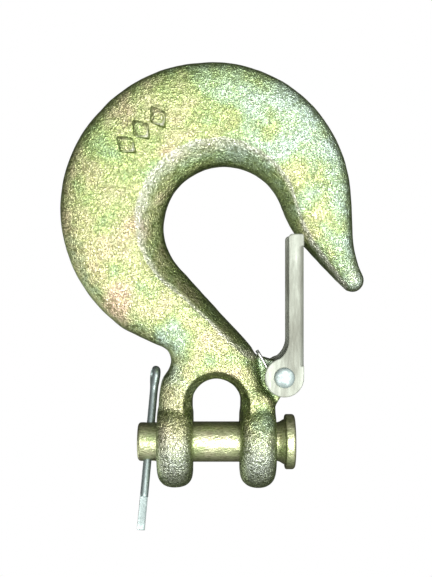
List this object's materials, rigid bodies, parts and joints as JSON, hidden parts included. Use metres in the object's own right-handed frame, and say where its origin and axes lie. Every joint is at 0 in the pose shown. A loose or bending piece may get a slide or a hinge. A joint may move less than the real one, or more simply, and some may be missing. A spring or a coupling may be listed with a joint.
{
  "type": "clevis slip hook with safety latch",
  "caption": "Forged chain hook with a deep bowl, a spring-loaded sheet latch across its mouth, and a clevis with a headed pin held by a cotter pin.",
  "frame": {"origin": "on the clevis pin's axis, midway between the ears, in the middle of the hook's thickness", "axes": "+Z from the clevis to the crown, +X from the back of the hook to its tip, +Y through its thickness, away from the side the rivet is peened on"},
  "size_m": [0.0902, 0.0272, 0.1378],
  "materials": {
    "forged_dichromate": "as-forged steel with yellow chromate over zinc, iridescent green, yellow and pink",
    "pin_dichromate": "turned steel with yellow chromate over zinc",
    "cotter_zinc": "drawn half-round wire, clear zinc",
    "latch_zinc": "pressed sheet steel, dull clear zinc",
    "rivet_bright": "peened bright zinc",
    "spring_wire": "bright drawn spring wire"
  },
  "bodies": {
    "hook": {"hook_body": "forged_dichromate", "latch_rivet": "rivet_bright", "latch_spring": "spring_wire"},
    "latch": {"latch": "latch_zinc"},
    "clevis_pin": {"clevis_pin": "pin_dichromate"},
    "cotter_pin": {"cotter_pin": "cotter_zinc"}
  },
  "joints": [
    {"name": "latch_pivot", "type": "hinge", "parent": "hook", "child": "latch", "pos_m": [0.01985, 0, 0.0198], "axis": [0, -1, 0], "range_deg": [0, 46], "stiffness_Nm_per_rad": 0.06, "springref_deg": -28.65, "deforming": ["latch_spring"]},
    {"name": "pin_turn", "type": "hinge", "parent": "hook", "child": "clevis_pin", "pos_m": [0, 0, 0], "axis": [1, 0, 0], "range_deg": [-140, 180]},
    {"name": "cotter_pull", "type": "slide", "parent": "clevis_pin", "child": "cotter_pin", "axis": [0.0732, 0.2916, 0.9537], "range_m": [-0.0085, 0.0045]}
  ]
}
